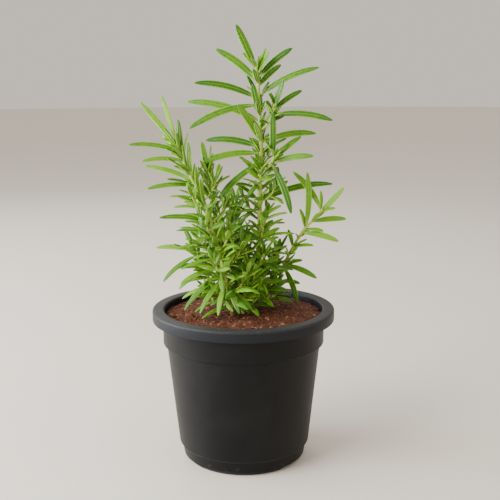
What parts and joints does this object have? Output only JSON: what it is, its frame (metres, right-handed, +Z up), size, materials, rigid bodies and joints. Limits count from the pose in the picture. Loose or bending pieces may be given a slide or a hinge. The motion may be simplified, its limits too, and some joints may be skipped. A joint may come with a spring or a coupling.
{
  "type": "potted rosemary plant",
  "caption": "Young rosemary plant with upright stems and narrow leaves, growing in a round tapered nursery pot with a turned-down rim, filled with potting soil.",
  "frame": {"origin": "middle of the pot's underside, on the surface that it stands on", "axes": "+Z up along the pot's axis; -Y is the front; +X is to the right seen from the front"},
  "size_m": [0.1404, 0.12, 0.284],
  "materials": {
    "pot_plastic": "satin charcoal, moulded",
    "potting_soil": "loose, matte, reddish-brown coir and peat",
    "young_stem": "smooth, pale yellow-green",
    "woody_stem": "matte, reddish brown",
    "leaf_green": "satin, slightly waxy",
    "leafy_shoot": "satin, slightly waxy"
  },
  "bodies": {
    "root": {"back_shoot": "leafy_shoot", "inner_shoot": "young_stem", "inner_shoot_leaf_01": "leaf_green", "left_side_shoot": "young_stem", "left_side_shoot_leaf_01": "leaf_green", "left_side_shoot_leaf_02": "leaf_green", "left_stem": "young_stem", "left_stem_leaf_01": "leaf_green", "left_stem_leaf_02": "leaf_green", "left_stem_leaf_03": "leaf_green", "left_stem_leaf_04": "leaf_green", "left_stem_leaf_05": "leaf_green", "left_stem_leaf_06": "leaf_green", "left_stem_leaf_07": "leaf_green", "left_stem_leaf_08": "leaf_green", "left_stem_leaf_09": "leaf_green", "left_stem_leaf_10": "leaf_green", "left_stem_leaf_11": "leaf_green", "left_stem_leaf_12": "leaf_green", "left_stem_leaf_13": "leaf_green", "left_stem_leaf_14": "leaf_green", "left_stem_leaf_15": "leaf_green", "lower_side_shoot": "young_stem", "lower_side_shoot_leaf_01": "leaf_green", "lower_side_shoot_leaf_02": "leaf_green", "lower_side_shoot_leaf_03": "leaf_green", "lower_side_shoot_leaf_04": "leaf_green", "main_stem": "young_stem", "main_stem_leaf_01": "leaf_green", "main_stem_leaf_02": "leaf_green", "main_stem_leaf_03": "leaf_green", "main_stem_leaf_04": "leaf_green", "main_stem_leaf_05": "leaf_green", "main_stem_leaf_06": "leaf_green", "main_stem_leaf_07": "leaf_green", "main_stem_leaf_08": "leaf_green", "main_stem_leaf_09": "leaf_green", "main_stem_leaf_10": "leaf_green", "main_stem_leaf_11": "leaf_green", "main_stem_leaf_12": "leaf_green", "main_stem_leaf_13": "leaf_green", "main_stem_leaf_14": "leaf_green", "main_stem_leaf_15": "leaf_green", "main_stem_leaf_16": "leaf_green", "middle_shoot": "leafy_shoot", "pot": "pot_plastic", "right_low_shoot": "leafy_shoot", "right_stem": "woody_stem", "right_stem_leaf_01": "leaf_green", "right_stem_leaf_02": "leaf_green", "right_stem_leaf_03": "leaf_green", "right_stem_leaf_04": "leaf_green", "right_stem_leaf_05": "leaf_green", "right_stem_leaf_06": "leaf_green", "right_stem_leaf_07": "leaf_green", "soil": "potting_soil", "upper_side_shoot": "young_stem", "upper_side_shoot_leaf_01": "leaf_green", "upper_side_shoot_leaf_02": "leaf_green", "upper_side_shoot_leaf_03": "leaf_green"}
  },
  "joints": []
}
